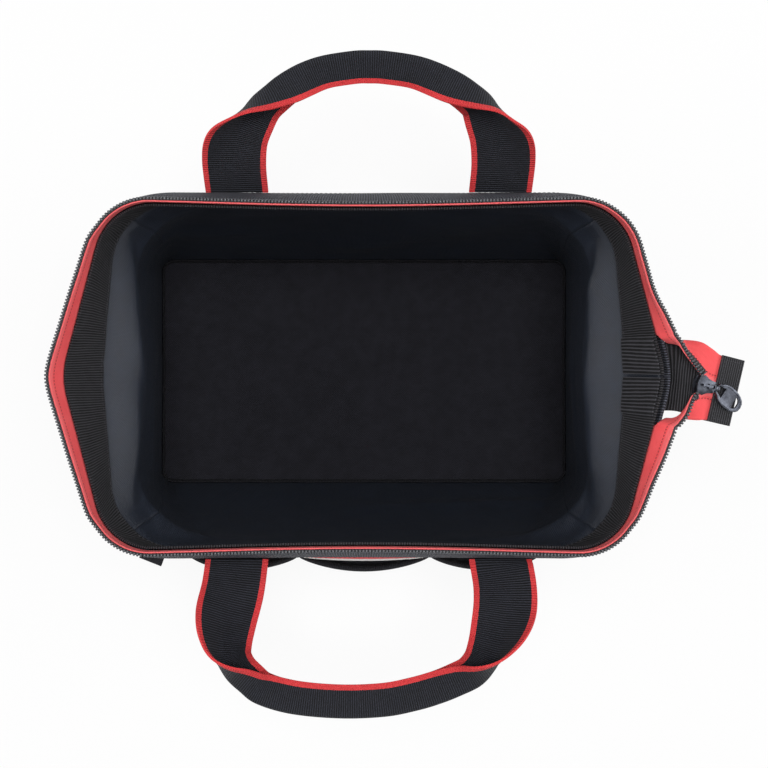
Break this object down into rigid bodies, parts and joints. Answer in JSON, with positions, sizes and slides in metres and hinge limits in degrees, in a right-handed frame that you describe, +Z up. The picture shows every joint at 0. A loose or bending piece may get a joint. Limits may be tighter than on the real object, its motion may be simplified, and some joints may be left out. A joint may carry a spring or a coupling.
{
  "type": "tool bag",
  "caption": "Open zippered tool bag of padded cloth on a stiff base, with a webbing band round its mouth, folded-grip handles, a zip with a tail, and a pleated front pocket.",
  "frame": {"origin": "middle of the base's flat underside", "axes": "+X along the bag to the zip's tail, -Y to the front pocket, +Z up out of the mouth"},
  "size_m": [0.4209, 0.3951, 0.2394],
  "materials": {
    "wall_cloth": "matte",
    "lining_cloth": "matte",
    "padding": "matte",
    "board": "matte",
    "webbing": "ribbed",
    "red_tape": "matte",
    "coil": "satin",
    "patch": "smooth",
    "gunmetal": "satin"
  },
  "bodies": {
    "bag_body": {"back_wall": "wall_cloth", "front_wall": "wall_cloth", "left_end_wall": "wall_cloth", "right_end_wall": "wall_cloth", "base_panel": "wall_cloth", "base_piping": "wall_cloth", "front_pocket": "wall_cloth", "back_lining": "lining_cloth", "front_lining": "lining_cloth", "left_end_lining": "lining_cloth", "right_end_lining": "lining_cloth", "floor_lining": "lining_cloth", "back_padding": "padding", "front_padding": "padding", "left_end_padding": "padding", "right_end_padding": "padding", "base_board": "board", "floor_binding": "webbing", "rim_webbing_outer": "webbing", "rim_webbing_inner": "webbing", "tail_strip": "webbing", "tail_cap": "webbing", "front_left_foot": "webbing", "front_right_foot": "webbing", "back_left_foot": "webbing", "back_right_foot": "webbing", "front_pocket_binding": "webbing", "front_left_tab": "webbing", "zip_tape": "red_tape", "zip_teeth": "coil", "zip_tail_chain": "coil", "front_patch": "patch"},
    "back_handle": {"back_handle": "webbing"},
    "front_handle": {"front_handle": "webbing"},
    "zip_slider": {"slider_body": "gunmetal"},
    "zip_link": {"pull_link": "gunmetal"},
    "zip_pull": {"pull_tab": "gunmetal"}
  },
  "joints": [
    {"name": "back_handle_swing", "type": "hinge", "parent": "bag_body", "child": "back_handle", "pos_m": [0.003, 0.11753, 0.1843], "axis": [1, 0, 0], "range_deg": [-116, 46]},
    {"name": "front_handle_swing", "type": "hinge", "parent": "bag_body", "child": "front_handle", "pos_m": [0.003, -0.11753, 0.1843], "axis": [-1, 0, 0], "range_deg": [-86, 60]},
    {"name": "zip_slide", "type": "slide", "parent": "bag_body", "child": "zip_slider", "axis": [0.9156, -0.2114, -0.342], "range_m": [-0.006, 0]},
    {"name": "link_swing", "type": "hinge", "parent": "zip_slider", "child": "zip_link", "pos_m": [0.20731, -0.00604, 0.22902], "axis": [-0.225, -0.9744, 0], "range_deg": [0, 110]},
    {"name": "pull_swing", "type": "hinge", "parent": "zip_link", "child": "zip_pull", "pos_m": [0.21204, -0.00713, 0.22832], "axis": [-0.5648, -0.8143, 0.1336], "range_deg": [0, 60]}
  ]
}
